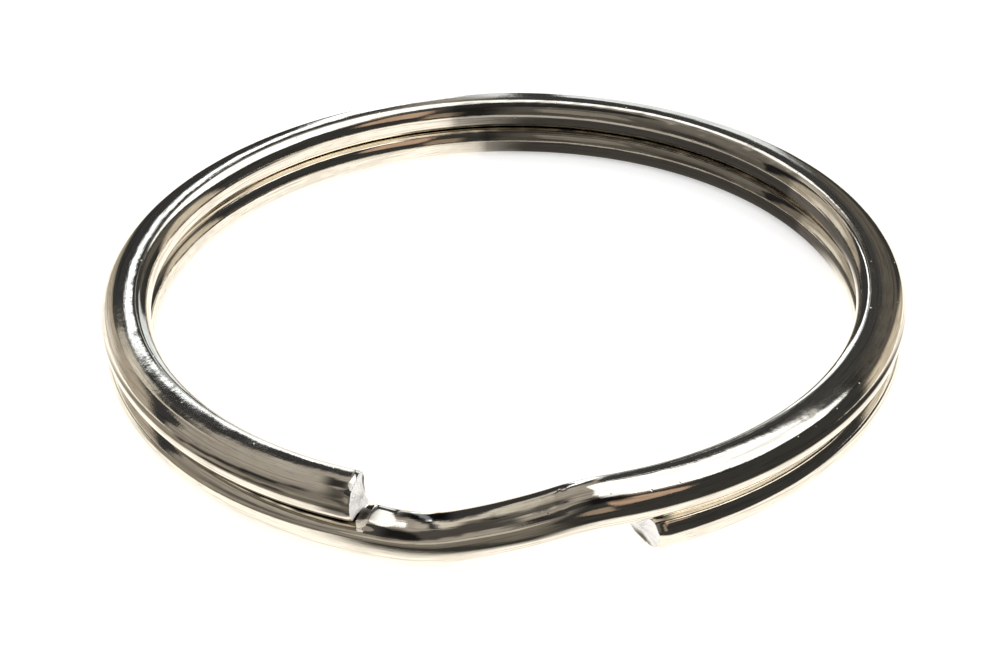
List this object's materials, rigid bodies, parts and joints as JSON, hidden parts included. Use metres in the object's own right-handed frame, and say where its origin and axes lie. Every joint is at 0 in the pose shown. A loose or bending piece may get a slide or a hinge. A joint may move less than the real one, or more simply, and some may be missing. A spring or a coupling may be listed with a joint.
{
  "type": "split ring",
  "caption": "Round split key ring of flattened spring wire, coiled on itself, with a joggle where it climbs and two sheared ends.",
  "frame": {"origin": "centre of the ring, on the face it rests on", "axes": "+Z along the ring's axis, upwards; -Y from the centre towards the joggle, where the wire climbs from the lower coil to the upper one; +X to the right seen from the joggle"},
  "size_m": [0.025, 0.025, 0.0021],
  "materials": {
    "nickel_plate": "bright nickel plate on spring steel, with fine lengthwise die lines and small pits"
  },
  "bodies": {
    "root": {"split_ring": "nickel_plate"}
  },
  "joints": []
}
